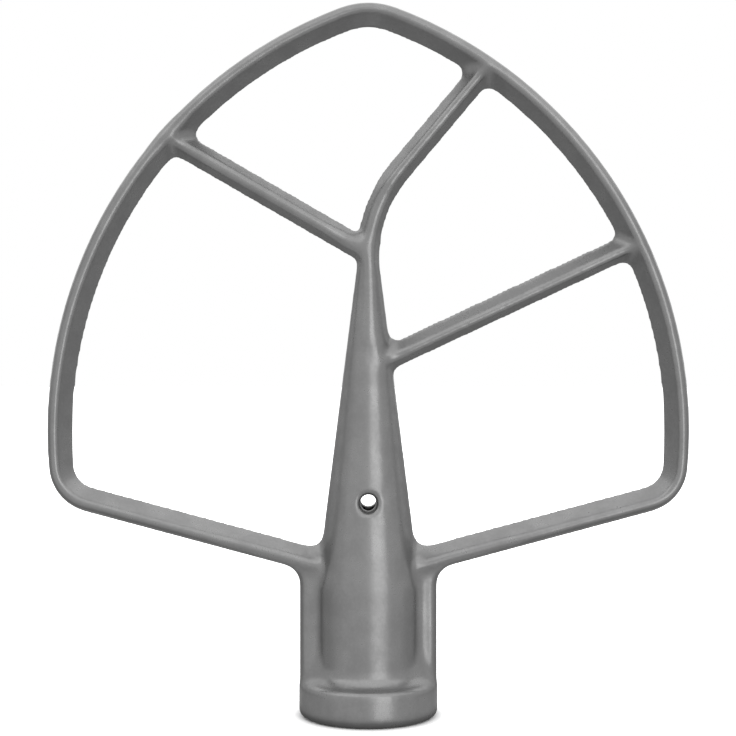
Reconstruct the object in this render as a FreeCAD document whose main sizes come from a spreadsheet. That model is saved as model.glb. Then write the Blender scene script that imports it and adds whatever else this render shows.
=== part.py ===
import FreeCAD, Part
import math
import os
import Sketcher

# A stand mixer's flat beater, cast in one piece.
# It stands on its hub: +Z runs up the stem, X across the loop, and Y through its thickness.
# The loop and its arms are symmetric about the parting plane Y = 0, where the two die halves meet.

doc = FreeCAD.newDocument("flat_beater")
V = FreeCAD.Vector

# A sketch's own names for its axes, its origin, and the points of a line or an arc
BASE_AXIS, HEIGHT_AXIS = range(-1, -3, -1)
ORIGIN = (-1, 1)
START, END, CENTRE = range(1, 4)

# Places closer than this, in millimetres, are the same place
SAME_PLACE = 1e-3


# Driving dimensions, in millimetres and degrees

SIZES = (
    ("overall_height", 166.2, "foot of the hub to the crown of the loop"),
    ("overall_width", 150.0, "loop, side to side"),
    ("crown_radius", 19.0, "outer edge of the loop at its crown"),
    ("side_radius", 105.65, "outer edge of the loop along each side"),
    ("corner_radius", 11.4, "outer edge of the loop at its lower corners"),
    ("bar_angle", 15.0, "rise of the lower bars from the hub to the corners"),
    ("bar_foot", 29.54, "height at which the lower edges of the bars would meet on the axis"),
    ("loop_width", 6.0, "width of the loop and the lower bars at the parting plane"),
    ("half_depth", 5.0, "parting plane to the front of the loop and the arms"),
    ("outer_draft", 16.0, "draft of the loop's outer wall"),
    ("outer_round", 1.65, "rounding of the loop's outer front edge"),
    ("window_draft", 33.0, "draft of the loop's inner wall"),
    ("window_corner", 3.0, "corners of the windows at the parting plane"),
    ("stem_corner", 4.4, "corners between the stem and the lower bars at the parting plane"),
    ("outer_corner", 1.2, "what these corners narrow to at the loop, just outside the metal"),
    ("root_corner", 3.0, "the same where a window's corner is at the stem"),
    ("arm_width", 5.6, "width of the arms at the parting plane"),
    ("left_arm_angle", 30.0, "rise of the left arm from the stem to the loop"),
    ("left_arm_root", 107.7, "height at which the left arm's middle line meets the axis"),
    ("left_arm_upper_draft", 38.5, "draft of the left arm's upper side, which ends in its ridge"),
    ("left_arm_lower_draft", 33.5, "draft of the left arm's lower side"),
    ("right_arm_angle", 25.0, "rise of the right arm from the stem to the loop"),
    ("right_arm_root", 81.0, "height at which the right arm's middle line meets the axis"),
    ("right_arm_upper_draft", 43.0, "draft of the right arm's upper side"),
    ("right_arm_lower_draft", 28.0, "draft of the right arm's lower side"),
    ("top_arm_angle", 50.0, "rise of the stem's continuation after its bend"),
    ("bend_radius", 31.0, "middle line of the stem's bend"),
    ("bend_height", 107.0, "height at which the stem starts to bend"),
    ("top_arm_left_draft", 36.5, "draft of the left side of the stem's web and the top arm"),
    ("top_arm_right_draft", 29.5, "draft of their right side"),
    ("hub_radius", 12.0, "round hub above its collar"),
    ("shoulder_height", 30.0, "height at which the hub turns into the tapered stem"),
    ("stem_draft", 7.15, "taper of the stem, each side"),
    ("stem_skin", 0.05, "how far the round stem stands proud of the flat web inside it"),
    ("stem_lap", 2.4, "how far the round stem runs up inside the web above it"),
    ("collar_radius", 16.15, "collar at the hub's foot"),
    ("collar_height", 8.3, "foot of the hub to the collar's ledge"),
    ("collar_top_round", 1.1, "upper edge of the collar"),
    ("collar_foot_round", 1.2, "lower edge of the collar"),
    ("rib_inset", 0.1, "outer edge of each side rib, inside the collar's"),
    ("rib_half_depth", 3.5, "parting plane to the flat face of each side rib"),
    ("rib_draft", 12.0, "draft of the side ribs"),
    ("rib_round", 0.8, "outer edges of the side ribs"),
    ("rib_bar_corner", 4.35, "corner between each rib and the bar above it"),
    ("hub_hollow", 1.5, "hollow corners between hub, ribs and collar"),
    ("bore_diameter", 13.0, "socket for the mixer's drive shaft"),
    ("bore_depth", 46.0, "straight wall of the socket"),
    ("bore_point_angle", 59.0, "slope of the socket's pointed end, from the axis"),
    ("bore_chamfer", 0.8, "mouth of the socket"),
    ("pin_slot_width", 5.0, "slot in the socket's wall for the shaft's drive pin"),
    ("pin_slot_reach", 9.0, "axis to the bottom of the pin slot"),
    ("pin_slot_height", 22.0, "foot of the hub to the top of the pin slot"),
    ("pin_turn_height", 5.6, "height of the slot's sideways leg"),
    ("pin_turn_angle", 35.0, "turn of the beater that locks the pin in the sideways leg"),
    ("cross_hole_mouth", 4.6, "drain hole through the stem where it leaves the metal"),
    ("cross_hole_waist", 3.5, "drain hole at the parting plane"),
    ("cross_hole_height", 49.9, "height of the drain hole"),
)

sheet = doc.addObject("Spreadsheet::Sheet", "sizes")
for row, (alias, value, note) in enumerate(SIZES, start=1):
    sheet.set("A%d" % row, str(value))
    sheet.set("B%d" % row, note)
    sheet.setAlias("A%d" % row, alias)
doc.recompute()


def value_of(formula):
    """The number that a formula of the sheet's sizes gives."""
    result = sheet.evalExpression(formula)
    return float(getattr(result, "Value", result))


def bind(item, **formulas):
    """Binds properties of an object to formulas; two underscores stand for a dot."""
    for name, formula in formulas.items():
        item.setExpression(name.replace("__", "."), formula)


def add(kind, name, **links):
    """Adds a document object and sets its links and options."""
    item = doc.addObject(kind, name)
    for key, link in links.items():
        setattr(item, key, link)
    return item


# Sketches in the parting plane, with X across and the sketch's Y along +Z

def parting_sketch(name):
    sketch = doc.addObject("Sketcher::SketchObject", name)
    sketch.Placement = FreeCAD.Placement(V(0, 0, 0), FreeCAD.Rotation(V(1, 0, 0), 90))
    return sketch


def line(sketch, start, end):
    return sketch.addGeometry(Part.LineSegment(V(*start, 0), V(*end, 0)), False)


def arc(sketch, centre, radius, start, end):
    """An arc that runs counterclockwise from one point to another."""
    first = math.atan2(start[1] - centre[1], start[0] - centre[0])
    last = math.atan2(end[1] - centre[1], end[0] - centre[0])
    if last < first:
        last += math.tau
    circle = Part.Circle(V(*centre, 0), V(0, 0, 1), radius)
    return sketch.addGeometry(Part.ArcOfCircle(circle, first, last), False)


def fix(sketch, name, kind, *references, formula):
    """A named dimension of a sketch, bound to a formula of the sheet's sizes."""
    number = value_of(formula)
    if kind == "Angle":
        number = math.radians(number)
        formula = "(%s) * 1 deg" % formula
    index = sketch.addConstraint(Sketcher.Constraint(kind, *references, number))
    sketch.renameConstraint(index, name)
    sketch.setExpression("Constraints." + name, formula)


def join(sketch, *pairs):
    for first, second in pairs:
        sketch.addConstraint(Sketcher.Constraint("Coincident", *first, *second))


def blend(sketch, *pairs):
    for first, second in pairs:
        sketch.addConstraint(Sketcher.Constraint("Tangent", *first, *second))


def rule(sketch, kind, *references):
    sketch.addConstraint(Sketcher.Constraint(kind, *references))


def polygon(name, corners):
    """A closed outline whose corners are pairs of formulas, across and up."""
    sketch = parting_sketch(name)
    points = [(value_of(across), value_of(up)) for across, up in corners]
    lines = [line(sketch, point, points[(number + 1) % len(points)])
             for number, point in enumerate(points)]
    for number, (across, up) in enumerate(corners):
        join(sketch, ((lines[number - 1], END), (lines[number], START)))
        corner = (lines[number], START)
        if across == "0":
            rule(sketch, "PointOnObject", *corner, HEIGHT_AXIS)
        else:
            fix(sketch, "across%d" % number, "DistanceX", *ORIGIN, *corner, formula=across)
        if up == "0":
            rule(sketch, "PointOnObject", *corner, BASE_AXIS)
        else:
            fix(sketch, "up%d" % number, "DistanceY", *ORIGIN, *corner, formula=up)
    return sketch


# Outer outline of the loop: crown, sides, lower corners and the lower edges of the bars

def circle_centres():
    """Centres of the crown, left side and left corner, from their radii and tangencies."""
    crown = (0.0, value_of("sizes.overall_height - sizes.crown_radius"))
    across = value_of("sizes.side_radius - sizes.overall_width / 2")
    drop = math.sqrt(value_of("sizes.side_radius - sizes.crown_radius") ** 2 - across ** 2)
    side = (across, crown[1] - drop)
    rise = math.radians(value_of("sizes.bar_angle"))
    upward = V(math.sin(rise), math.cos(rise), 0)
    outward = V(-math.cos(rise), math.sin(rise), 0)
    start = upward * (value_of("sizes.bar_foot") * math.cos(rise) + value_of("sizes.corner_radius"))
    offset = start - V(*side, 0)
    gap = value_of("sizes.side_radius - sizes.corner_radius")
    along = offset.dot(outward)
    reach = -along + math.sqrt(along ** 2 - offset.dot(offset) + gap ** 2)
    corner = start + outward * reach
    return crown, side, (corner.x, corner.y), upward


def away(centre, toward, radius):
    """The point of a circle on the ray from another point through its centre."""
    ray = V(*centre, 0) - V(*toward, 0)
    point = V(*centre, 0) + ray * (radius / ray.Length)
    return point.x, point.y


def mirrored(point):
    return -point[0], point[1]


def loop_outline():
    sketch = parting_sketch("loop_outline")
    crown, side, corner, upward = circle_centres()
    crown_radius = value_of("sizes.crown_radius")
    side_radius = value_of("sizes.side_radius")
    corner_radius = value_of("sizes.corner_radius")
    shoulder = away(crown, side, crown_radius)
    hip = away(corner, side, corner_radius)
    bar_end = (corner[0] - upward.x * corner_radius, corner[1] - upward.y * corner_radius)
    foot = (0.0, value_of("sizes.bar_foot"))

    top = arc(sketch, crown, crown_radius, mirrored(shoulder), shoulder)
    left_side = arc(sketch, side, side_radius, shoulder, hip)
    left_corner = arc(sketch, corner, corner_radius, hip, bar_end)
    left_bar = line(sketch, bar_end, foot)
    right_bar = line(sketch, foot, mirrored(bar_end))
    right_corner = arc(sketch, mirrored(corner), corner_radius, mirrored(bar_end), mirrored(hip))
    right_side = arc(sketch, mirrored(side), side_radius, mirrored(hip), mirrored(shoulder))

    blend(sketch,
          ((top, END), (left_side, START)),
          ((left_side, END), (left_corner, START)),
          ((left_corner, END), (left_bar, START)),
          ((right_bar, END), (right_corner, START)),
          ((right_corner, END), (right_side, START)),
          ((right_side, END), (top, START)))
    join(sketch, ((left_bar, END), (right_bar, START)))
    rule(sketch, "PointOnObject", left_bar, END, HEIGHT_AXIS)
    rule(sketch, "PointOnObject", top, CENTRE, HEIGHT_AXIS)
    rule(sketch, "Equal", left_side, right_side)
    rule(sketch, "Equal", left_corner, right_corner)
    fix(sketch, "crown", "Radius", top, formula="sizes.crown_radius")
    fix(sketch, "side", "Radius", left_side, formula="sizes.side_radius")
    fix(sketch, "corner", "Radius", left_corner, formula="sizes.corner_radius")
    fix(sketch, "crown_height", "DistanceY", *ORIGIN, top, CENTRE,
        formula="sizes.overall_height - sizes.crown_radius")
    fix(sketch, "left_side_centre", "DistanceX", *ORIGIN, left_side, CENTRE,
        formula="sizes.side_radius - sizes.overall_width / 2")
    fix(sketch, "right_side_centre", "DistanceX", right_side, CENTRE, *ORIGIN,
        formula="sizes.side_radius - sizes.overall_width / 2")
    fix(sketch, "foot", "DistanceY", *ORIGIN, left_bar, END, formula="sizes.bar_foot")
    fix(sketch, "left_fall", "Angle", left_bar, formula="-sizes.bar_angle")
    fix(sketch, "right_rise", "Angle", right_bar, formula="sizes.bar_angle")
    return sketch


# What lies on one side of the stem's web, of its bend and of the top arm

WEB_FOOT = "(sizes.bar_foot - sizes.loop_width)"
STEM_SLOPE = "tan(sizes.stem_draft * 1 deg)"
STEM_AT_FOOT = "(sizes.hub_radius + (sizes.shoulder_height - %s) * %s)" % (WEB_FOOT, STEM_SLOPE)
STEM_TOP = "(sizes.shoulder_height + (sizes.hub_radius - sizes.arm_width / 2) / %s)" % STEM_SLOPE


def stem_side(name, side):
    """The area to the left of the web, for side -1, or to its right, for side 1."""
    sketch = parting_sketch(name)
    half = side * value_of("sizes.arm_width / 2")
    foot = value_of(WEB_FOOT)
    foot_half = side * value_of(STEM_AT_FOOT)
    narrow = value_of(STEM_TOP)
    centre = (value_of("sizes.bend_radius"), value_of("sizes.bend_height"))
    rise = math.radians(value_of("sizes.top_arm_angle"))
    reach = value_of("sizes.overall_width")
    radius = centre[0] - half
    leave = (centre[0] - radius * math.sin(rise), centre[1] + radius * math.cos(rise))
    tip = (leave[0] + reach * math.cos(rise), leave[1] + reach * math.sin(rise))

    taper = line(sketch, (foot_half, foot), (half, narrow))
    neck = line(sketch, (half, narrow), (half, centre[1]))
    bend = arc(sketch, centre, radius, leave, (half, centre[1]))
    arm = line(sketch, leave, tip)
    over = line(sketch, tip, (side * reach, tip[1]))
    outside = line(sketch, (side * reach, tip[1]), (side * reach, foot))
    base = line(sketch, (side * reach, foot), (foot_half, foot))

    join(sketch,
         ((taper, END), (neck, START)),
         ((arm, END), (over, START)),
         ((over, END), (outside, START)),
         ((outside, END), (base, START)),
         ((base, END), (taper, START)))
    blend(sketch, ((neck, END), (bend, END)), ((bend, START), (arm, START)))
    rule(sketch, "Vertical", neck)
    rule(sketch, "Vertical", outside)
    rule(sketch, "Horizontal", over)
    rule(sketch, "Horizontal", base)
    sign = "-" if side < 0 else ""
    fix(sketch, "half", "DistanceX", *ORIGIN, neck, START, formula=sign + "sizes.arm_width / 2")
    fix(sketch, "narrow", "DistanceY", *ORIGIN, neck, START, formula=STEM_TOP)
    fix(sketch, "foot_half", "DistanceX", *ORIGIN, base, END, formula=sign + STEM_AT_FOOT)
    fix(sketch, "foot", "DistanceY", *ORIGIN, base, END, formula=WEB_FOOT)
    fix(sketch, "bend_across", "DistanceX", *ORIGIN, bend, CENTRE, formula="sizes.bend_radius")
    fix(sketch, "bend_up", "DistanceY", *ORIGIN, bend, CENTRE, formula="sizes.bend_height")
    fix(sketch, "arm_rise", "Angle", arm, formula="sizes.top_arm_angle")
    fix(sketch, "arm_reach", "Distance", arm, formula="sizes.overall_width")
    fix(sketch, "outside", "DistanceX", *ORIGIN, outside, START, formula=sign + "sizes.overall_width")
    return sketch


# What lies on one side of a straight arm, drawn past the loop and past the stem

def arm_side(name, root, angle, side):
    """The area to the left of an arm seen from its root, for side 1, or to its right."""
    sketch = parting_sketch(name)
    height = value_of(root)
    rise = math.radians(value_of(angle))
    reach = value_of("sizes.overall_width")
    along = V(math.cos(rise), math.sin(rise), 0) * reach
    aside = V(-math.sin(rise), math.cos(rise), 0) * side
    base = V(0, height, 0)
    edge = base + aside * value_of("sizes.arm_width / 2")
    corners = [edge - along, edge + along, edge + along + aside * reach,
               edge - along + aside * reach]
    points = [(corner.x, corner.y) for corner in corners]

    far = base + along
    middle = line(sketch, (0.0, height), (far.x, far.y))
    sketch.setConstruction(middle, True)
    near, tip, over, tail = [
        line(sketch, points[number], points[(number + 1) % 4]) for number in range(4)]
    join(sketch,
         ((near, END), (tip, START)),
         ((tip, END), (over, START)),
         ((over, END), (tail, START)),
         ((tail, END), (near, START)))
    rule(sketch, "PointOnObject", middle, START, HEIGHT_AXIS)
    rule(sketch, "PointOnObject", middle, END, tip)
    rule(sketch, "Parallel", near, middle)
    rule(sketch, "Parallel", over, middle)
    rule(sketch, "Perpendicular", tip, middle)
    rule(sketch, "Perpendicular", tail, middle)
    fix(sketch, "root", "DistanceY", *ORIGIN, middle, START, formula=root)
    fix(sketch, "rise", "Angle", middle, formula=angle)
    fix(sketch, "reach", "Distance", middle, formula="sizes.overall_width")
    fix(sketch, "half_width", "Distance", near, START, middle, formula="sizes.arm_width / 2")
    fix(sketch, "length", "Distance", near, formula="2 * sizes.overall_width")
    fix(sketch, "depth", "Distance", tip, formula="sizes.overall_width")
    return sketch


def area(sketch):
    return add("Part::Face", sketch.Name + "_area", Sources=[sketch])


outline = loop_outline()
loop_area = area(outline)
inside = add("Part::Offset2D", "loop_inside", Source=loop_area)
bind(inside, Value="-sizes.loop_width")


# Drafted solids, both ways from the parting plane

def drafted(name, base, reach, draft):
    """Both die halves of a flat area; a negative draft draws the walls in."""
    solid = add("Part::Extrusion", name, Base=base, DirMode="Custom", Dir=V(0, 1, 0), Solid=True)
    bind(solid, LengthFwd=reach, LengthRev=reach, TaperAngle=draft, TaperAngleRev=draft)
    return solid


def back_half(name, base, reach, draft):
    """The half of a flat area's solid behind the parting plane."""
    solid = add("Part::Extrusion", name, Base=base, DirMode="Custom", Dir=V(0, 1, 0), Solid=True)
    bind(solid, LengthFwd=reach, TaperAngle=draft)
    return solid


# Roundings pick their edges by where these lie

def middle_of(edge):
    return edge.valueAt((edge.FirstParameter + edge.LastParameter) / 2)


def lies_at(edge, axis, level):
    box = edge.BoundBox
    low, high = getattr(box, axis + "Min"), getattr(box, axis + "Max")
    return abs(low - level) < SAME_PLACE and abs(high - level) < SAME_PLACE


def in_face(edge, depth):
    """True for an edge that lies in the front or back face at this depth."""
    return lies_at(edge, "Y", depth) or lies_at(edge, "Y", -depth)


def rounded(name, base, radius, wanted):
    """Rounds each edge of an object for which wanted(edge) is true."""
    doc.recompute()
    fillet = add("Part::Fillet", name, Base=base)
    size = value_of(radius)
    fillet.Edges = [(number, size, size)
                    for number, edge in enumerate(base.Shape.Edges, start=1) if wanted(edge)]
    return fillet


# The back half of the loop, before its windows are cut

def on_outer_rim(edge):
    return lies_at(edge, "Y", value_of("sizes.half_depth"))


plate = back_half("plate", loop_area, "sizes.half_depth", "-sizes.outer_draft")
plate_rounded = rounded("plate_rounded", plate, "sizes.outer_round", on_outer_rim)


# The back halves of the windows, whose corners narrow away from the parting plane

PLUG_REACH = "(sizes.half_depth + sizes.outer_round)"

# Halfway from the lower bars to the lower one of the two arms' roots
BARS_TO_ARMS = "(sizes.bar_foot + min(sizes.left_arm_root; sizes.right_arm_root)) / 2"

# Walls that turn less than this, in degrees, run on into each other
SMOOTH_TURN = 15


def plug(name, base, draft):
    return back_half(name, base, PLUG_REACH, draft)


def corner_radii(edge):
    """The radii of a plug's corner edge at its two ends, first end first."""
    first, last = edge.Vertexes
    inner = first if abs(first.Y) < abs(last.Y) else last
    at_bars = inner.Z < value_of(BARS_TO_ARMS)
    at_stem = abs(inner.X) < value_of(STEM_AT_FOOT)
    wide = value_of("sizes.stem_corner" if at_bars else "sizes.window_corner")
    narrow = value_of("sizes.root_corner" if at_stem else "sizes.outer_corner")
    return (wide, narrow) if inner is first else (narrow, wide)


def turn_at(shape, edge):
    """The angle in degrees by which the two walls at an edge turn."""
    middle = middle_of(edge)
    normals = [face.normalAt(*face.Surface.parameter(middle))
               for face in shape.ancestorsOfType(edge, Part.Face)]
    return math.degrees(normals[0].getAngle(normals[-1]))


def on_plug_corner(shape, edge):
    crosses = edge.BoundBox.YLength > value_of(PLUG_REACH) - SAME_PLACE
    return crosses and turn_at(shape, edge) > SMOOTH_TURN


def window(name, arm, arm_draft, stem_plug):
    """The back half of a window that lies on one side of an arm and of the stem."""
    sharp = add("Part::MultiCommon", name + "_sharp",
                Shapes=[inside_plug, plug(name + "_arm_plug", area(arm), arm_draft), stem_plug])
    doc.recompute()
    rounded_plug = add("Part::Fillet", name, Base=sharp)
    rounded_plug.Edges = [(number, *corner_radii(edge))
                          for number, edge in enumerate(sharp.Shape.Edges, start=1)
                          if on_plug_corner(sharp.Shape, edge)]
    return rounded_plug


inside_plug = plug("inside_plug", inside, "sizes.window_draft")
left_plug = plug("left_plug", area(stem_side("left_of_stem", -1)), "sizes.top_arm_left_draft")
right_plug = plug("right_plug", area(stem_side("right_of_stem", 1)), "sizes.top_arm_right_draft")
LEFT_ARM = ("sizes.left_arm_root", "180 - sizes.left_arm_angle")
RIGHT_ARM = ("sizes.right_arm_root", "sizes.right_arm_angle")
windows = (
    window("upper_left", arm_side("above_left_arm", *LEFT_ARM, -1),
           "sizes.left_arm_upper_draft", left_plug),
    window("lower_left", arm_side("below_left_arm", *LEFT_ARM, 1),
           "sizes.left_arm_lower_draft", left_plug),
    window("upper_right", arm_side("above_right_arm", *RIGHT_ARM, 1),
           "sizes.right_arm_upper_draft", right_plug),
    window("lower_right", arm_side("below_right_arm", *RIGHT_ARM, -1),
           "sizes.right_arm_lower_draft", right_plug))
loop_back = plate_rounded
for opening in windows:
    loop_back = add("Part::Cut", "loop_less_" + opening.Name, Base=loop_back, Tool=opening)
loop_front = add("Part::Mirroring", "loop_front", Source=loop_back, Normal=V(0, 1, 0))


# The hub: a collar and a cylinder that turns into the tapered stem, with a rib on each side

HUB_SKIN = "(sizes.hub_radius + sizes.stem_skin)"
STEM_TIP = "(%s + sizes.stem_lap)" % STEM_TOP
STEM_TIP_RADIUS = "(sizes.arm_width / 2 + sizes.stem_skin - sizes.stem_lap * %s)" % STEM_SLOPE
RIB_REACH = "(sizes.collar_radius - sizes.rib_inset)"
RIB_LAP = "(sizes.loop_width / 3)"
RIB_FOOT = "(sizes.collar_height / 2)"


def turned(name, profile):
    """A solid of revolution about the height axis."""
    return add("Part::Revolution", name, Source=profile, Axis=V(0, 0, 1), Solid=True)


def rib_outline():
    """The right rib, from inside the collar up into the bar."""
    sketch = parting_sketch("rib_outline")
    reach = value_of(RIB_REACH)
    radius = value_of("sizes.rib_bar_corner")
    lap = value_of(RIB_LAP)
    rise = math.radians(value_of("sizes.bar_angle"))
    foot = value_of("sizes.bar_foot")
    low = value_of(RIB_FOOT)
    across = reach + radius
    centre = (across, foot + across * math.tan(rise) - radius / math.cos(rise))
    touch = (centre[0] - radius * math.sin(rise), centre[1] + radius * math.cos(rise))
    inner = (touch[0] - lap * math.sin(rise), touch[1] + lap * math.cos(rise))
    top = (0.0, foot + lap / math.cos(rise))

    base = line(sketch, (0.0, low), (reach, low))
    outer = line(sketch, (reach, low), (reach, centre[1]))
    corner = arc(sketch, centre, radius, touch, (reach, centre[1]))
    end = line(sketch, touch, inner)
    upper = line(sketch, inner, top)
    middle = line(sketch, top, (0.0, low))
    join(sketch,
         ((base, END), (outer, START)),
         ((end, END), (upper, START)),
         ((upper, END), (middle, START)),
         ((middle, END), (base, START)))
    blend(sketch, ((outer, END), (corner, END)))
    rule(sketch, "Perpendicular", end, START, corner, START)
    rule(sketch, "Horizontal", base)
    rule(sketch, "Vertical", outer)
    rule(sketch, "PointOnObject", upper, END, HEIGHT_AXIS)
    rule(sketch, "PointOnObject", base, START, HEIGHT_AXIS)
    fix(sketch, "low", "DistanceY", *ORIGIN, base, START, formula=RIB_FOOT)
    fix(sketch, "reach", "DistanceX", *ORIGIN, base, END, formula=RIB_REACH)
    fix(sketch, "corner", "Radius", corner, formula="sizes.rib_bar_corner")
    fix(sketch, "end_angle", "Angle", end, formula="90 + sizes.bar_angle")
    fix(sketch, "lap", "Distance", end, formula=RIB_LAP)
    fix(sketch, "top", "DistanceY", *ORIGIN, upper, END,
        formula="sizes.bar_foot + %s / cos(sizes.bar_angle * 1 deg)" % RIB_LAP)
    fix(sketch, "fall", "Angle", upper, formula="180 + sizes.bar_angle")
    return sketch


def collar_edge_outline():
    """What the round upper edge of the collar leaves off, outside a quarter circle."""
    sketch = parting_sketch("collar_edge_outline")
    radius = value_of("sizes.collar_top_round")
    reach = value_of("sizes.collar_radius")
    top = value_of("sizes.collar_height")
    centre = (reach - radius, top - radius)
    quarter = arc(sketch, centre, radius, (reach, centre[1]), (centre[0], top))
    under = line(sketch, (reach, centre[1]), (reach + radius, centre[1]))
    outside = line(sketch, (reach + radius, centre[1]), (reach + radius, top))
    over = line(sketch, (reach + radius, top), (centre[0], top))
    join(sketch,
         ((quarter, START), (under, START)),
         ((under, END), (outside, START)),
         ((outside, END), (over, START)),
         ((over, END), (quarter, END)))
    rule(sketch, "Horizontal", under)
    rule(sketch, "Horizontal", over)
    rule(sketch, "Vertical", outside)
    rule(sketch, "Vertical", quarter, CENTRE, quarter, END)
    rule(sketch, "Horizontal", quarter, CENTRE, quarter, START)
    fix(sketch, "round", "Radius", quarter, formula="sizes.collar_top_round")
    fix(sketch, "reach", "DistanceX", *ORIGIN, quarter, START, formula="sizes.collar_radius")
    fix(sketch, "top", "DistanceY", *ORIGIN, quarter, END, formula="sizes.collar_height")
    fix(sketch, "outside", "Distance", under, formula="sizes.collar_top_round")
    return sketch


hub_profile = polygon("hub_profile", (
    ("0", "0"),
    ("sizes.collar_radius", "0"),
    ("sizes.collar_radius", "sizes.collar_height"),
    (HUB_SKIN, "sizes.collar_height"),
    (HUB_SKIN, "sizes.shoulder_height"),
    (STEM_TIP_RADIUS, STEM_TIP),
    ("0", STEM_TIP)))
hub_turned = turned("hub_turned", hub_profile)
rib_right = drafted("rib_right", rib_outline(), "sizes.rib_half_depth", "-sizes.rib_draft")
rib_left = add("Part::Mirroring", "rib_left", Source=rib_right, Normal=V(1, 0, 0))
hub_sharp = add("Part::MultiFuse", "hub_sharp", Shapes=[hub_turned, rib_right, rib_left], Refine=True)


def in_hollow(edge):
    """True for the inner corners between the hub, its ribs and the collar's ledge."""
    middle = middle_of(edge)
    depth = value_of("sizes.rib_half_depth")
    ledge = value_of("sizes.collar_height")
    if lies_at(edge, "Z", ledge):
        inner = math.hypot(middle.x, middle.y) < value_of("sizes.collar_radius") - SAME_PLACE
        return inner and abs(middle.y) > depth - SAME_PLACE
    root = math.sqrt(value_of(HUB_SKIN) ** 2 - depth ** 2)
    upright = in_face(edge, depth) and abs(abs(middle.x) - root) < SAME_PLACE
    return upright and middle.z < value_of("sizes.shoulder_height")


def on_rib_rim(edge):
    """True for a rib's outer front and back edges, from the ledge to the bar."""
    middle = middle_of(edge)
    depth = value_of("sizes.rib_half_depth")
    rim = value_of(RIB_REACH + " - sizes.rib_half_depth * tan(sizes.rib_draft * 1 deg)")
    outer = abs(middle.x) > rim - SAME_PLACE and middle.z > value_of(RIB_FOOT)
    return outer and in_face(edge, depth)


def on_foot(edge):
    return lies_at(edge, "Z", 0)


hub_hollowed = rounded("hub_hollowed", hub_sharp, "sizes.hub_hollow", in_hollow)
hub_ribbed = rounded("hub_ribbed", hub_hollowed, "sizes.rib_round", on_rib_rim)
hub_footed = rounded("hub_footed", hub_ribbed, "sizes.collar_foot_round", on_foot)
collar_ring = turned("collar_ring", collar_edge_outline())
rib_pair = add("Part::MultiFuse", "rib_pair", Shapes=[rib_right, rib_left])
collar_edge = add("Part::Cut", "collar_edge", Base=collar_ring, Tool=rib_pair)
hub = add("Part::Cut", "hub", Base=hub_footed, Tool=collar_edge)
casting = add("Part::MultiFuse", "casting", Shapes=[hub, loop_front, loop_back],
              Refine=True)


# Hollows: the drive socket with its pin slot, and the drain hole through the stem

BORE_RADIUS = "(sizes.bore_diameter / 2)"
BORE_POINT = "(%s / tan(sizes.bore_point_angle * 1 deg))" % BORE_RADIUS
TURN_FOOT = "(sizes.pin_slot_height - sizes.pin_turn_height)"
HALF_SLOT_ANGLE = "asin(sizes.pin_slot_width / sizes.bore_diameter)"
STEM_AT_HOLE = ("(sizes.hub_radius - (sizes.cross_hole_height - sizes.shoulder_height) * %s)"
                % STEM_SLOPE)
DRAIN_REACH = "2 * " + STEM_AT_HOLE

bore_wall = add("Part::Cylinder", "bore_wall")
bind(bore_wall, Radius=BORE_RADIUS, Height="sizes.bore_depth")
bore_end = add("Part::Cone", "bore_end", Radius2=0)
bind(bore_end, Radius1=BORE_RADIUS, Height=BORE_POINT, Placement__Base__z="sizes.bore_depth")
bore_mouth = add("Part::Cone", "bore_mouth")
bind(bore_mouth, Radius1=BORE_RADIUS + " + sizes.bore_chamfer", Radius2=BORE_RADIUS,
     Height="sizes.bore_chamfer")
pin_slot = add("Part::Box", "pin_slot")
bind(pin_slot, Length="sizes.pin_slot_reach", Width="sizes.pin_slot_width",
     Height="sizes.pin_slot_height", Placement__Base__y="-sizes.pin_slot_width / 2")
pin_turn = add("Part::Cylinder", "pin_turn")
bind(pin_turn, Radius="sizes.pin_slot_reach", Height="sizes.pin_turn_height",
     Angle="sizes.pin_turn_angle * 1 deg + " + HALF_SLOT_ANGLE, Placement__Base__z=TURN_FOOT)


def drain_half(name, turn):
    """Half the drain hole, from the parting plane to as far outside the stem again.

    Its width grows evenly, so at the stem's surface, halfway, it is that of the mouth.
    """
    cone = add("Part::Cone", name)
    cone.Placement.Rotation = FreeCAD.Rotation(V(1, 0, 0), turn)
    bind(cone, Radius1="sizes.cross_hole_waist / 2", Height=DRAIN_REACH,
         Radius2="sizes.cross_hole_mouth - sizes.cross_hole_waist / 2",
         Placement__Base__z="sizes.cross_hole_height")
    return cone


hollows = add("Part::MultiFuse", "hollows", Shapes=[
    bore_wall, bore_end, bore_mouth, pin_slot, pin_turn,
    drain_half("drain_front", 90), drain_half("drain_back", -90)])
beater = add("Part::Cut", "beater", Base=casting, Tool=hollows)
beater.Label = "flat_beater"
doc.recompute()


# Every step has to have worked before the casting is written

for item in doc.Objects:
    if {"Invalid", "Error"} & set(item.State):
        raise RuntimeError("%s could not be made" % item.Label)
if beater.Shape.isNull() or not beater.Shape.isValid() or len(beater.Shape.Solids) != 1:
    raise RuntimeError("The casting isn't one sound solid")

os.makedirs("parts", exist_ok=True)
beater.Shape.exportStep("parts/%s.step" % beater.Label)
print("%s: %.0f cubic millimetres" % (beater.Label, beater.Shape.Volume))
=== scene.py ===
"""A stand mixer's flat beater in satin cast aluminium, standing on its hub in a white studio.

+Z runs up the stem, X across the loop and Y through its thickness. Lengths are in metres.
"""

import math

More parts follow.
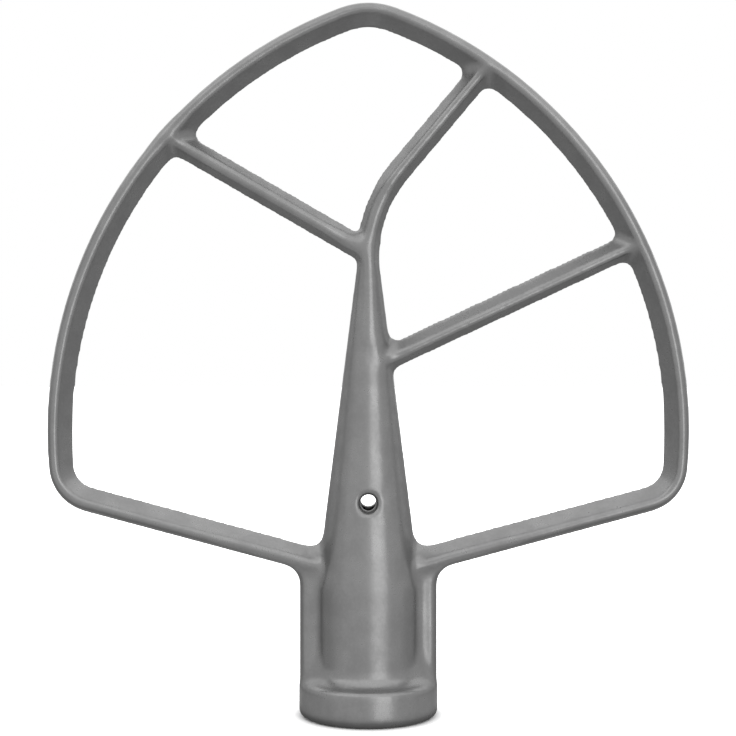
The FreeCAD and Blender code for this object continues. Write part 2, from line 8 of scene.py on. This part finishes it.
import bmesh
import bpy
import numpy as np
from bpy.props import FloatProperty, FloatVectorProperty, IntProperty, PointerProperty
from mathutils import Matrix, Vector


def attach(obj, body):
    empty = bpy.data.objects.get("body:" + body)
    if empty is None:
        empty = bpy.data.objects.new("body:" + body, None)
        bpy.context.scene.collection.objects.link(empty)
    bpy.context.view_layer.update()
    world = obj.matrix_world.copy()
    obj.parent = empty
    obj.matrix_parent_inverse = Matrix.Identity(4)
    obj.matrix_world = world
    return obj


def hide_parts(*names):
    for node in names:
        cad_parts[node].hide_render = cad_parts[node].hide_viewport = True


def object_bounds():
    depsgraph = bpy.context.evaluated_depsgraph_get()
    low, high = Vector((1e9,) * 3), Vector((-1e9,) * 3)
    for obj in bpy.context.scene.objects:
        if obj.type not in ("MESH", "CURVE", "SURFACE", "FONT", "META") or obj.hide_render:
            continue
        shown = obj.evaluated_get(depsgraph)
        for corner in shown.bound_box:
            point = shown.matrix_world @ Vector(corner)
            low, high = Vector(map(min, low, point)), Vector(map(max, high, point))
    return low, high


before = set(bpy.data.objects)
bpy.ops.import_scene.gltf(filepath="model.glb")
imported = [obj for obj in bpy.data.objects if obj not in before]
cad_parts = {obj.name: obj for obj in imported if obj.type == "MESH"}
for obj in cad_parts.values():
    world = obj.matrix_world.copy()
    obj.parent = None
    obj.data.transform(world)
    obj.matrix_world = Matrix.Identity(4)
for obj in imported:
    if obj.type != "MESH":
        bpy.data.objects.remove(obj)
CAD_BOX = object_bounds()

bl_info = {
    "name": "Flat beater",
    "version": (1, 0, 0),
    "blender": (4, 5, 0),
    "location": "3D View > Sidebar > Beater",
    "description": "Builds a stand mixer's flat beater and the studio that it stands in",
    "category": "Object",
}

NODE = "flat_beater"
BODY = "root"


# Measures of the skin

# Corners of the solid's triangles that are closer than this are one corner
SAME_PLACE = 1e-7

# How far the skin stays inside the solid's box
INSET = 0.00001

# Passes that even the ridges before the edges are eased
STRAIGHTEN_PASSES = 30

# The socket's outermost wall from the axis, and its top
SOCKET_REACH = 0.0093
SOCKET_TOP = 0.047

# Heights below which the hub and the collar's ledge have their own hollows, and the way over
# which these take hold
HUB_TOP = 0.041
HUB_FADE = 0.004
LEDGE_TOP = 0.0145
LEDGE_FADE = 0.003

# How far from the middle plane an edge still belongs to it
RIM_HALF = 0.0006

# Lines across the front and up the stem, each with how far around it something counts
NECK = ((0.0, 0.070), (0.0, 0.116), 0.0045)
LEFT_ARM = ((-0.046, 0.1343), (-0.004, 0.110), 0.0035)
RIGHT_ARM = ((0.008, 0.0847), (0.055, 0.1066), 0.0035)
TOP_ARM = ((0.0067, 0.1247), (0.024, 0.1462), 0.0035)
LEFT_BAR = ((-0.026, 0.0365), (-0.012, 0.033), 0.006)
RIGHT_BAR = ((0.026, 0.0365), (0.012, 0.033), 0.006)
LEFT_ARM_WEB = ((-0.004, 0.113), (-0.002, 0.1155), 0.0055)


# Patterns of the metal

# Noises: scale, detail and roughness
MOTTLE = (170.0, 4.0, 0.6)
SPECKLE = (1500.0, 2.0, 0.6)
GRAIN = (4200.0, 2.0, 0.5)
WAVES = (90.0, 2.0, 0.5)

# Strength and height of the relief that three of them give
WAVES_RELIEF = (0.35, 0.00006)
SPECKLE_RELIEF = (0.02, 0.00001)
GRAIN_RELIEF = (0.06, 0.000005)

# How mottle and speckle make up the tone, and what its ends do to the metal's colour
MOTTLE_SHARE, SPECKLE_SHARE = 0.7, 0.3
COLOUR_ENDS = (0.35, 0.65)
DULL, FRESH = 0.93, 1.07

# What the tone's ends do to the roughness
ROUGH_ENDS = (0.3, 0.7)
ROUGHER, SMOOTHER = 0.05, 0.04

# Where a ridge is worn: from how pointed it is, and in which patches of the mottle
WORN_POINTINESS = (0.52, 0.6)
WORN_PATCHES = (0.3, 0.65, 0.35, 1.0)
WORN_POLISH = 0.06

SPECULAR_LEVEL = 0.3
SPECULAR_GREY = (0.35, 0.35, 0.35)


# Measures of the studio

WHITE = (1.0, 1.0, 1.0)
FLOOR_HALF = 6.0

# The share of its colour that the floor throws back on the beater
FLOOR_BOUNCE = 0.3

# The floor by distance from the axis: where the painted contact shadow (the added white left out
# round the foot, over the floor's real shadow) gives way to white, and the two fades, with their
# ends, of the painted grey shade that only the metal mirrors
PAINTED_SHADOW_FADE = (0.0155, 0.0215, 0.0, 1.0)
PAINTED_MIRROR_SHADE_NEAR = (0.016, 0.026, 0.25, 1.0)
PAINTED_MIRROR_SHADE_FAR = (0.042, 0.055, 1.0, 0.62)

# In front of the beater the metal mirrors the open air instead, over this way from the axis
MIRROR_FRONT = (0.017, 0.03)

# What the lamps are turned to
LAMP_AIM = (0.0, 0.0, 0.08)

# Each lamp's name and level, and the window of directions that it fills, in degrees: to the
# right of the line to the camera, and above the horizon
LAMPS = (
    ("front_softbox", "front_level", (-62.0, 8.0), (-20.0, 32.0)),
    ("right_strip", "strip_level", (8.0, 40.0), (-20.0, 32.0)),
    ("upper_left_softbox", "upper_level", (-62.0, -8.0), (32.0, 50.0)),
    ("upper_right_softbox", "upper_level", (-8.0, 46.0), (32.0, 50.0)),
    ("top_softbox", "top_level", (-56.0, 56.0), (48.0, 145.0)),
    ("back_softbox", "back_level", (150.0, 210.0), (0.0, 45.0)),
)

SENSOR_WIDTH = 36.0
NEAREST_SEEN, FARTHEST_SEEN = 0.01, 50.0


# What a user would change

class CastingSettings(bpy.types.PropertyGroup):
    skin_step: FloatProperty(
        name="Skin step", description="Size of the small facets that the skin is made of",
        default=0.00058, min=0.0003, max=0.002, precision=5, unit="LENGTH")
    passes: IntProperty(
        name="Passes", description="Steps in which the edges and the inner corners are eased",
        default=210, min=0, max=1000)
    hollow_radius: FloatProperty(
        name="Hollow radius", description="Smallest inner corner where members run together",
        default=0.0026, min=0.0003, max=0.01, precision=5, unit="LENGTH")
    hub_hollow_radius: FloatProperty(
        name="Hub's hollow radius", description="Smallest inner corner on the outside of the hub",
        default=0.0042, min=0.0003, max=0.01, precision=5, unit="LENGTH")
    ledge_hollow_radius: FloatProperty(
        name="Ledge's hollow radius", description="Inner corner over the collar's ledge",
        default=0.008, min=0.0003, max=0.02, precision=5, unit="LENGTH")
    web_hollow_radius: FloatProperty(
        name="Web's hollow radius", description="Inner corner over the left arm at the stem",
        default=0.0075, min=0.0003, max=0.02, precision=5, unit="LENGTH")
    ridge_radius: FloatProperty(
        name="Ridge radius", description="Smallest rounding of a ridge",
        default=0.0014, min=0.0001, max=0.005, precision=5, unit="LENGTH")
    parting_radius: FloatProperty(
        name="Parting edge",
        description="Smallest rounding of the edges in the middle plane and in the socket",
        default=0.00045, min=0.0001, max=0.005, precision=5, unit="LENGTH")
    soft_radius: FloatProperty(
        name="Soft ridge",
        description="Rounding of the ridges of the left arm, and of the lower bars at the hub",
        default=0.002, min=0.0001, max=0.005, precision=5, unit="LENGTH")
    neck_radius: FloatProperty(
        name="Neck", description="Rounding of the front and the back of the neck",
        default=0.004, min=0.0001, max=0.005, precision=5, unit="LENGTH")
    arm_skin: FloatProperty(
        name="Arms' skin", description="Put back on the arms for what their rounding takes off",
        default=0.00014, min=0.0, max=0.0005, precision=5, unit="LENGTH")
    metal_colour: FloatVectorProperty(
        name="Metal", description="Colour of the dull cast metal",
        default=(0.2, 0.2, 0.2), min=0.0, max=1.0, subtype="COLOR")
    worn_colour: FloatVectorProperty(
        name="Worn metal", description="Colour of ridges that are burnished by use",
        default=(0.225, 0.225, 0.225), min=0.0, max=1.0, subtype="COLOR")
    metallic: FloatProperty(
        name="Metallic", description="How much of the dull skin shines as bare metal",
        default=0.6, min=0.0, max=1.0, subtype="FACTOR")
    roughness: FloatProperty(
        name="Roughness", description="Middle roughness of the skin",
        default=0.3, min=0.05, max=1.0, subtype="FACTOR")


class StageSettings(bpy.types.PropertyGroup):
    eye_distance: FloatProperty(
        name="Eye distance", description="Camera to the middle plane of the beater",
        default=0.3505, min=0.1, max=5.0, precision=4, unit="LENGTH")
    eye_height: FloatProperty(
        name="Eye height", description="Camera above the floor",
        default=0.0808, min=0.0, max=2.0, precision=4, unit="LENGTH")
    eye_across: FloatProperty(
        name="Eye across", description="Camera to the side of the beater's axis",
        default=-0.00007, min=-1.0, max=1.0, precision=5, unit="LENGTH")
    lens: FloatProperty(
        name="Lens", description="Focal length in millimetres on a sensor 36 mm wide",
        default=73.4, min=10.0, max=300.0)
    floor_colour: FloatVectorProperty(
        name="Floor", description="Colour of the floor round the beater's foot",
        default=(0.9, 0.9, 0.9), min=0.0, max=1.0, subtype="COLOR")
    fill: FloatProperty(
        name="Fill", description="Level of the even light that dull surfaces get from all round",
        default=0.62, min=0.0, max=2.0)
    front_level: FloatProperty(
        name="Front softbox", description="Brightness of the broad softbox in front, on the left",
        default=0.24, min=0.0, max=10.0)
    strip_level: FloatProperty(
        name="Right strip", description="Brightness of the softbox in front, on the right",
        default=2.1, min=0.0, max=10.0)
    upper_level: FloatProperty(
        name="Upper softboxes", description="Brightness of the two softboxes high in front",
        default=0.72, min=0.0, max=10.0)
    top_level: FloatProperty(
        name="Top softbox", description="Brightness of the softbox above and a little behind",
        default=0.95, min=0.0, max=10.0)
    back_level: FloatProperty(
        name="Back softbox", description="Brightness of the softbox behind the beater",
        default=0.6, min=0.0, max=10.0)
    lamp_distance: FloatProperty(
        name="Lamp distance", description="Beater to each of the lamps",
        default=1.2, min=0.3, max=5.0, unit="LENGTH")


# Small helpers

def new_material(name):
    material = bpy.data.materials.new(name)
    material.use_nodes = True
    material.node_tree.nodes.clear()
    return material


def rgba(colour):
    return (*colour, 1.0)


class Tree:
    """Adds nodes to a node tree, with their settings and links in one call."""

    # Sockets of a colour mix, by number since their names repeat
    MIX_FACTOR, MIX_FIRST, MIX_SECOND, MIX_RESULT = 0, 6, 7, 2

    def __init__(self, tree):
        self.tree = tree

    def add(self, kind, settings=None, **inputs):
        node = self.tree.nodes.new(kind)
        for key, value in (settings or {}).items():
            setattr(node, key, value)
        for key, value in inputs.items():
            self.put(node.inputs[key.replace("_", " ")], value)
        return node

    def put(self, socket, value):
        if isinstance(value, bpy.types.NodeSocket):
            self.tree.links.new(value, socket)
        else:
            socket.default_value = value

    def math(self, operation, *values):
        node = self.add("ShaderNodeMath", {"operation": operation})
        for socket, value in zip(node.inputs, values):
            self.put(socket, value)
        return node.outputs[0]

    def spread(self, value, low, high, to_low=0.0, to_high=1.0):
        """Maps a range of a value to another, smoothly and within its limits."""
        node = self.add("ShaderNodeMapRange", {"interpolation_type": "SMOOTHSTEP"}, Value=value,
                        From_Min=low, From_Max=high, To_Min=to_low, To_Max=to_high)
        return node.outputs["Result"]

    def noise(self, place, scale, detail, roughness):
        node = self.add("ShaderNodeTexNoise", Vector=place, Scale=scale, Detail=detail,
                        Roughness=roughness)
        return node.outputs["Fac"]

    def tint(self, factor, first, second):
        node = self.add("ShaderNodeMix", {"data_type": "RGBA"})
        self.put(node.inputs[self.MIX_FACTOR], factor)
        self.put(node.inputs[self.MIX_FIRST], first)
        self.put(node.inputs[self.MIX_SECOND], second)
        return node.outputs[self.MIX_RESULT]

    def join(self, kind, first, second, **inputs):
        """Adds or mixes two shaders."""
        node = self.add(kind, **inputs)
        for socket, shader in zip([item for item in node.inputs if item.type == "SHADER"],
                                  (first, second)):
            self.put(socket, shader)
        return node.outputs[0]

    def finish(self, kind, surface):
        self.add(kind, Surface=surface)


# Satin cast aluminium

def cast_aluminium(settings):
    """Cast metal tumbled to a satin skin: faint mottling, fine grain and burnished ridges."""
    material = new_material("cast_aluminium")
    tree = Tree(material.node_tree)
    place = tree.add("ShaderNodeTexCoord").outputs["Object"]
    ridge = tree.add("ShaderNodeNewGeometry").outputs["Pointiness"]
    mottle, speckle, grain, waves = (
        tree.noise(place, *pattern) for pattern in (MOTTLE, SPECKLE, GRAIN, WAVES))

    worn = tree.math("MULTIPLY", tree.spread(ridge, *WORN_POINTINESS),
                     tree.spread(mottle, *WORN_PATCHES))
    tone = tree.math("ADD", tree.math("MULTIPLY", mottle, MOTTLE_SHARE),
                     tree.math("MULTIPLY", speckle, SPECKLE_SHARE))
    dull, fresh = (tuple(value * factor for value in settings.metal_colour)
                   for factor in (DULL, FRESH))
    colour = tree.tint(tree.spread(tone, *COLOUR_ENDS), rgba(dull), rgba(fresh))
    colour = tree.tint(worn, colour, rgba(settings.worn_colour))

    rough = tree.spread(tone, *ROUGH_ENDS,
                        settings.roughness + ROUGHER, settings.roughness - SMOOTHER)
    rough = tree.math("SUBTRACT", rough, tree.math("MULTIPLY", worn, WORN_POLISH))

    below = {}
    for height, (strength, distance) in (
            (waves, WAVES_RELIEF), (speckle, SPECKLE_RELIEF), (grain, GRAIN_RELIEF)):
        relief = tree.add("ShaderNodeBump", Strength=strength, Distance=distance, Height=height,
                          **below)
        below = {"Normal": relief.outputs["Normal"]}
    shader = tree.add("ShaderNodeBsdfPrincipled", Base_Color=colour, Metallic=settings.metallic,
                      Roughness=rough, Specular_IOR_Level=SPECULAR_LEVEL,
                      Specular_Tint=rgba(SPECULAR_GREY), **below)
    tree.finish("ShaderNodeOutputMaterial", shader.outputs["BSDF"])
    return material


# The casting's skin

def merged_copy(node, name):
    """A copy of a node's mesh whose loose triangles are joined at their corners."""
    mesh = node.data.copy()
    body = bmesh.new()
    body.from_mesh(mesh)
    bmesh.ops.remove_doubles(body, verts=body.verts, dist=SAME_PLACE)
    joined = bpy.data.meshes.new(name)
    body.to_mesh(joined)
    body.free()
    bpy.data.meshes.remove(mesh)
    return joined


def settled(piece):
    """Makes what a piece's modifiers give into its own mesh."""
    graph = bpy.context.evaluated_depsgraph_get()
    mesh = bpy.data.meshes.new_from_object(piece.evaluated_get(graph))
    old = piece.data
    piece.modifiers.clear()
    piece.data = mesh
    mesh.name = old.name
    bpy.data.meshes.remove(old)


class Skin:
    """The points of a fine even mesh, and the flow that eases its edges and hollows."""

    # How far a point goes in one pass: to the middle of its neighbours when it is smoothed,
    # along its normal and over the surface when it is eased
    SMOOTH_SHARE = 0.5
    EASE_SHARE = 0.6
    SLIDE_SHARE = 0.35

    # The bend, in steps of the mesh, that counts in full as a ridge, and what a neighbour
    # weighs that isn't on one
    FULL_BEND = 0.1
    FLAT_WEIGHT = 1e-6

    # The least length that a normal is divided by
    SMALLEST = 1e-18

    def __init__(self, mesh):
        self.points = np.empty(len(mesh.vertices) * 3)
        mesh.vertices.foreach_get("co", self.points)
        self.points = self.points.reshape(-1, 3)
        ends = np.empty(len(mesh.edges) * 2, dtype=np.int64)
        mesh.edges.foreach_get("vertices", ends)
        self.near, self.count = self.neighbours(ends.reshape(-1, 2))
        corners = np.empty(len(mesh.loops), dtype=np.int64)
        mesh.loops.foreach_get("vertex_index", corners)
        self.quads = corners.reshape(-1, 4)

    def neighbours(self, ends):
        """Each point's neighbours in one table, filled up with the point itself."""
        both = np.concatenate((ends, ends[:, ::-1]))
        both = both[np.argsort(both[:, 0], kind="stable")]
        count = np.bincount(both[:, 0], minlength=len(self.points))
        first = np.concatenate(([0], np.cumsum(count)[:-1]))
        slot = np.arange(len(both)) - first[both[:, 0]]
        near = np.repeat(np.arange(len(self.points))[:, None], count.max(), axis=1)
        near[both[:, 0], slot] = both[:, 1]
        return near, count[:, None]

    def reaches(self):
        """From each point to each of its neighbours."""
        return self.points[self.near] - self.points[:, None]

    def pull(self):
        """From each point to the middle of its neighbours."""
        return self.reaches().sum(axis=1) / self.count

    def normals(self):
        a, b, c, d = (self.points[self.quads[:, corner]] for corner in range(4))
        across = np.cross(c - a, d - b)
        total = np.zeros_like(self.points)
        for corner in range(4):
            for axis in range(3):
                total[:, axis] += np.bincount(self.quads[:, corner], weights=across[:, axis],
                                              minlength=len(self.points))
        length = np.linalg.norm(total, axis=1, keepdims=True)
        return total / np.maximum(length, self.SMALLEST)

    def smooth(self):
        self.points += self.SMOOTH_SHARE * self.pull()

    def straighten(self, passes, step):
        """Evens ridges and inner edges along their own lines, without rounding them."""
        for _ in range(passes):
            bend = (self.pull() * self.normals()).sum(axis=1)
            sharp = np.minimum(np.abs(bend) / (self.FULL_BEND * step), 1.0) ** 2
            weight = sharp[self.near][..., None] + self.FLAT_WEIGHT
            middle = (self.points[self.near] * weight).sum(axis=1) / weight.sum(axis=1)
            self.points += self.SMOOTH_SHARE * sharp[:, None] * (middle - self.points)

    def ease(self, passes, hollow, ridge):
        """Bends the surface until no hollow and no ridge is sharper than its radius."""
        for _ in range(passes):
            reaches = self.reaches()
            pull = reaches.sum(axis=1) / self.count
            # Along a round ridge the bend is this area over the ridge's radius
            area = (reaches ** 2).sum(axis=(1, 2)) / self.count[:, 0] / 4
            normal = self.normals()
            bend = (pull * normal).sum(axis=1)
            excess = bend - np.clip(bend, -area / ridge, area / hollow)
            slide = pull - bend[:, None] * normal
            self.points += (self.EASE_SHARE * excess[:, None] * normal
                            + self.SLIDE_SHARE * slide)


def near_line(points, line):
    """1 at the points around a line seen from the front, fading to 0 beyond its reach."""
    first, last, reach = np.array(line[0]), np.array(line[1]), line[2]
    flat = points[:, (0, 2)]
    along = (flat - first) @ (last - first) / np.dot(last - first, last - first)
    foot = first + np.clip(along, 0, 1)[:, None] * (last - first)
    away = np.linalg.norm(flat - foot, axis=1)
    return np.clip(2 - away / reach, 0, 1)


def near_any(points, *lines):
    return np.max([near_line(points, line) for line in lines], axis=0)


def under(points, top, fade):
    """0 at a height and above it, rising to 1 over the way down that the fade gives."""
    return np.clip((top - points[:, 2]) / fade, 0, 1)


def inside_socket(points):
    around = np.hypot(points[:, 0], points[:, 1])
    return (around < SOCKET_REACH) & (points[:, 2] < SOCKET_TOP)


def toward(value, other, share):
    return value + (other - value) * share


def radii(points, settings):
    """The smallest radius of a hollow and that of a ridge at each point."""
    ridge = toward(settings.ridge_radius, settings.soft_radius,
                   near_any(points, LEFT_ARM, LEFT_BAR, RIGHT_BAR))
    ridge = toward(ridge, settings.neck_radius, near_line(points, NECK))
    at_parting = (np.abs(points[:, 1]) < RIM_HALF) & (points[:, 2] > HUB_TOP)
    ridge = np.where(at_parting, settings.parting_radius, ridge)

    hollow = toward(settings.hollow_radius, settings.hub_hollow_radius,
                    under(points, HUB_TOP, HUB_FADE))
    hollow = toward(hollow, settings.ledge_hollow_radius, under(points, LEDGE_TOP, LEDGE_FADE))
    hollow = toward(hollow, settings.web_hollow_radius, near_line(points, LEFT_ARM_WEB))

    socket = inside_socket(points)
    return (np.where(socket, settings.parting_radius, hollow),
            np.where(socket, settings.parting_radius, ridge))


def soft_skin(settings):
    """The casting under one even skin, with soft blends where its members run together."""
    mesh = merged_copy(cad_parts[NODE], "beater_casting")
    piece = bpy.data.objects.new("beater_casting", mesh)
    bpy.context.scene.collection.objects.link(piece)
    remesh = piece.modifiers.new("skin", "REMESH")
    remesh.mode = "VOXEL"
    remesh.voxel_size = settings.skin_step
    settled(piece)

    skin = Skin(piece.data)
    hollow, ridge = radii(skin.points, settings)
    arms = near_any(skin.points, LEFT_ARM, RIGHT_ARM, TOP_ARM)
    skin.smooth()
    skin.straighten(STRAIGHTEN_PASSES, settings.skin_step)
    skin.points += settings.arm_skin * arms[:, None] * skin.normals()
    skin.ease(settings.passes, hollow, ridge)
    skin.smooth()
    low, high = (np.array(corner) for corner in CAD_BOX)
    skin.points = np.clip(skin.points, low + INSET, high - INSET)
    piece.data.vertices.foreach_set("co", skin.points.ravel())
    piece.data.update()
    piece.data.shade_smooth()
    return piece


# The studio

def softbox(name, settings, level, azimuths, heights):
    """A lamp that fills a window of directions seen from the beater."""
    distance = settings.lamp_distance
    azimuth = math.radians(sum(azimuths) / 2)
    rise = math.radians(sum(heights) / 2)
    way = Vector((math.sin(azimuth) * math.cos(rise), -math.cos(azimuth) * math.cos(rise),
                  math.sin(rise)))
    data = bpy.data.lights.new(name, "AREA")
    data.shape = "RECTANGLE"
    data.size = 2 * distance * math.tan(math.radians(azimuths[1] - azimuths[0]) / 2)
    data.size_y = 2 * distance * math.tan(math.radians(heights[1] - heights[0]) / 2)
    data.energy = level * math.pi * data.size * data.size_y
    item = bpy.data.objects.new(name, data)
    item.location = Vector(LAMP_AIM) + way * distance
    item.rotation_euler = (-way).to_track_quat("-Z", "Y").to_euler()
    bpy.context.scene.collection.objects.link(item)


def seen_ray(tree):
    """1 for rays from the camera, and for those that metal or glass throws on."""
    path = tree.add("ShaderNodeLightPath").outputs
    seen = tree.math("MAXIMUM", path["Is Camera Ray"], path["Is Glossy Ray"])
    return tree.math("MAXIMUM", seen, path["Is Transmission Ray"])


def pale_floor(settings):
    """White away from the beater with a painted shadow round its foot, a painted grey shade where
    the metal mirrors it, and clear from below.
    """
    material = new_material("studio_floor")
    tree = Tree(material.node_tree)
    seen = seen_ray(tree)
    mirrored = tree.add("ShaderNodeLightPath").outputs["Is Glossy Ray"]
    place = tree.add("ShaderNodeTexCoord").outputs["Object"]
    away = tree.add("ShaderNodeVectorMath", {"operation": "LENGTH"}, Vector=place).outputs["Value"]

    bounce = tuple(value * FLOOR_BOUNCE for value in settings.floor_colour)
    pale = tree.add("ShaderNodeBsdfDiffuse",
                    Color=tree.tint(seen, rgba(bounce), rgba(settings.floor_colour)))
    # Painted shadow: the white is left out round the foot, so there the floor keeps only its lit
    # tone
    painted_shadow_glow = tree.math("MULTIPLY", seen, tree.spread(away, *PAINTED_SHADOW_FADE))
    white = tree.add("ShaderNodeEmission", Strength=painted_shadow_glow)
    lit = tree.join("ShaderNodeAddShader", pale.outputs[0], white.outputs[0])

    # Painted shade for reflections: glossy rays see a grey glow, darkest under the foot and dimmer
    # far out, instead of the lit floor
    tone = tree.math("MULTIPLY", tree.spread(away, *PAINTED_MIRROR_SHADE_NEAR),
                     tree.spread(away, *PAINTED_MIRROR_SHADE_FAR))
    painted_mirror_shade = tree.add("ShaderNodeEmission", Strength=tone)
    surface = tree.join("ShaderNodeMixShader", lit, painted_mirror_shade.outputs[0], Fac=mirrored)

    across = tree.add("ShaderNodeSeparateXYZ", Vector=place).outputs["Y"]
    in_front = tree.spread(tree.math("MULTIPLY", across, -1.0), *MIRROR_FRONT)
    below = tree.add("ShaderNodeNewGeometry").outputs["Backfacing"]
    clear = tree.math("MAXIMUM", tree.math("MULTIPLY", mirrored, in_front), below)
    open_air = tree.add("ShaderNodeBsdfTransparent").outputs[0]
    tree.finish("ShaderNodeOutputMaterial",
                tree.join("ShaderNodeMixShader", surface, open_air, Fac=clear))
    return material


def studio_floor(settings):
    """A pale floor that fades into the white backdrop away from the beater."""
    body = bmesh.new()
    bmesh.ops.create_grid(body, x_segments=1, y_segments=1, size=FLOOR_HALF)
    mesh = bpy.data.meshes.new("studio_floor")
    body.to_mesh(mesh)
    body.free()
    mesh.materials.append(pale_floor(settings))
    floor = bpy.data.objects.new("studio_floor", mesh)
    bpy.context.scene.collection.objects.link(floor)
    floor.visible_shadow = False


def studio_world(settings):
    world = bpy.data.worlds.new("studio")
    world.use_nodes = True
    world.node_tree.nodes.clear()
    tree = Tree(world.node_tree)
    level = tree.math("MAXIMUM", seen_ray(tree), settings.fill)
    light = tree.add("ShaderNodeBackground", Color=rgba(WHITE), Strength=level)
    tree.finish("ShaderNodeOutputWorld", light.outputs[0])
    bpy.context.scene.world = world


def studio_lamps(settings):
    for name, level, azimuths, heights in LAMPS:
        softbox(name, settings, getattr(settings, level), azimuths, heights)


def studio_camera(settings):
    data = bpy.data.cameras.new("eye")
    data.lens = settings.lens
    data.sensor_width = SENSOR_WIDTH
    data.clip_start = NEAREST_SEEN
    data.clip_end = FARTHEST_SEEN
    eye = bpy.data.objects.new("eye", data)
    eye.location = (settings.eye_across, -settings.eye_distance, settings.eye_height)
    eye.rotation_euler = (math.radians(90.0), 0.0, 0.0)
    bpy.context.scene.collection.objects.link(eye)
    bpy.context.scene.camera = eye


# Operators

class BEATER_OT_casting(bpy.types.Operator):
    """Lay a softly blended skin of satin cast aluminium over the casting"""

    bl_idname = "beater.casting"
    bl_label = "Casting"

    def execute(self, context):
        settings = context.scene.beater_casting
        piece = soft_skin(settings)
        piece.data.materials.clear()
        piece.data.materials.append(cast_aluminium(settings))
        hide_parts(NODE)
        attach(piece, BODY)
        return {"FINISHED"}


class BEATER_OT_stage(bpy.types.Operator):
    """Set up the white studio: floor, backdrop, soft lamps and camera"""

    bl_idname = "beater.stage"
    bl_label = "Studio"

    def execute(self, context):
        settings = context.scene.beater_stage
        context.scene.view_settings.view_transform = "Standard"
        studio_floor(settings)
        studio_world(settings)
        studio_lamps(settings)
        studio_camera(settings)
        return {"FINISHED"}


class BEATER_PT_panel(bpy.types.Panel):
    """The beater's pieces and sizes, in the sidebar"""

    bl_label = "Flat beater"
    bl_idname = "BEATER_PT_panel"
    bl_space_type = "VIEW_3D"
    bl_region_type = "UI"
    bl_category = "Beater"

    def draw(self, context):
        for label, group, operator in (
                ("Casting", context.scene.beater_casting, BEATER_OT_casting),
                ("Studio", context.scene.beater_stage, BEATER_OT_stage)):
            box = self.layout.box()
            box.label(text=label)
            for name in group.__annotations__:
                box.prop(group, name)
            box.operator(operator.bl_idname)


CLASSES = (CastingSettings, StageSettings, BEATER_OT_casting, BEATER_OT_stage, BEATER_PT_panel)


def register():
    for item in CLASSES:
        bpy.utils.register_class(item)
    bpy.types.Scene.beater_casting = PointerProperty(type=CastingSettings)
    bpy.types.Scene.beater_stage = PointerProperty(type=StageSettings)


def unregister():
    del bpy.types.Scene.beater_stage
    del bpy.types.Scene.beater_casting
    for item in reversed(CLASSES):
        bpy.utils.unregister_class(item)


def main():
    register()
    bpy.ops.beater.stage()
    bpy.ops.beater.casting()


if __name__ == "__main__":
    main()
